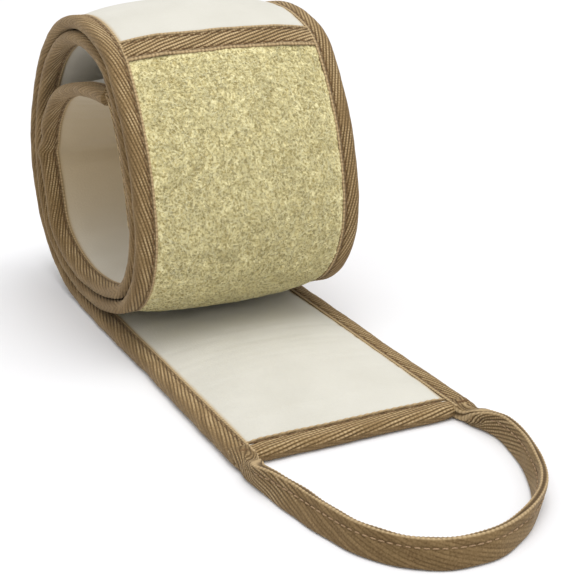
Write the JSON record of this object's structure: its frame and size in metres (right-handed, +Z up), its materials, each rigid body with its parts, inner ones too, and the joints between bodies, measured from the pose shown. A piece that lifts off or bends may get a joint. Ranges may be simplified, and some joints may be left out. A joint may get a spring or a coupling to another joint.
{
  "type": "back scrubber",
  "caption": "Long padded scrubbing strap with a loofah face, cloth back, taped edges and a loop handle at each end, rolled up with one end lying flat.",
  "frame": {"origin": "centre of the object's bounding box in plan, on the floor that it rests on", "axes": "+X along the roll's axis from its left side to its right, +Y from the front handle towards the back of the roll, +Z up"},
  "size_m": [0.1, 0.3323, 0.135],
  "materials": {
    "loofah": "matte, open fibrous netting, pale yellow green",
    "foam": "soft open-cell padding, off-white",
    "cloth": "matte brushed cotton, ivory",
    "tape": "matte herringbone twill tape, tan brown",
    "thread": "matte sewing thread, brown"
  },
  "bodies": {
    "roll": {"loofah_panel": "loofah", "foam_core_front": "foam", "foam_core_middle": "foam", "foam_core_rear": "foam", "backing_cloth_roll": "cloth", "front_end_cloth_roll": "cloth", "rear_end_cloth": "cloth", "left_edge_binding_front": "tape", "left_edge_binding_middle": "tape", "left_edge_binding_rear": "tape", "right_edge_binding_front": "tape", "right_edge_binding_middle": "tape", "right_edge_binding_rear": "tape", "rear_end_binding": "tape", "front_seam_tape": "tape", "rear_seam_tape": "tape", "left_edge_stitching_roll": "thread", "right_edge_stitching_roll": "thread", "rear_end_stitching": "thread", "front_seam_stitching": "thread", "rear_seam_stitching": "thread", "rear_bar_tacks": "thread"},
    "flap": {"foam_core_flap": "foam", "backing_cloth_flap": "cloth", "front_end_cloth_flap": "cloth", "left_edge_binding_flap": "tape", "right_edge_binding_flap": "tape", "left_edge_stitching_flap": "thread", "right_edge_stitching_flap": "thread", "front_end_binding": "tape", "front_end_stitching": "thread", "front_bar_tacks": "thread"},
    "front_handle": {"front_handle_tape": "tape", "front_handle_stitching": "thread"},
    "rear_handle": {"rear_handle_tape": "tape", "rear_handle_stitching": "thread"}
  },
  "joints": [
    {"name": "flap_lift", "type": "hinge", "parent": "roll", "child": "flap", "pos_m": [0, 0.0181, 0.0058], "axis": [-1, 0, 0], "range_deg": [0, 60]},
    {"name": "front_handle_swing", "type": "hinge", "parent": "flap", "child": "front_handle", "pos_m": [0, -0.0761, 0.0058], "axis": [-1, 0, 0], "range_deg": [0, 75]},
    {"name": "rear_handle_swing", "type": "hinge", "parent": "roll", "child": "rear_handle", "pos_m": [0, 0.0497, 0.1035], "axis": [1, 0, 0], "range_deg": [0, 45]}
  ]
}
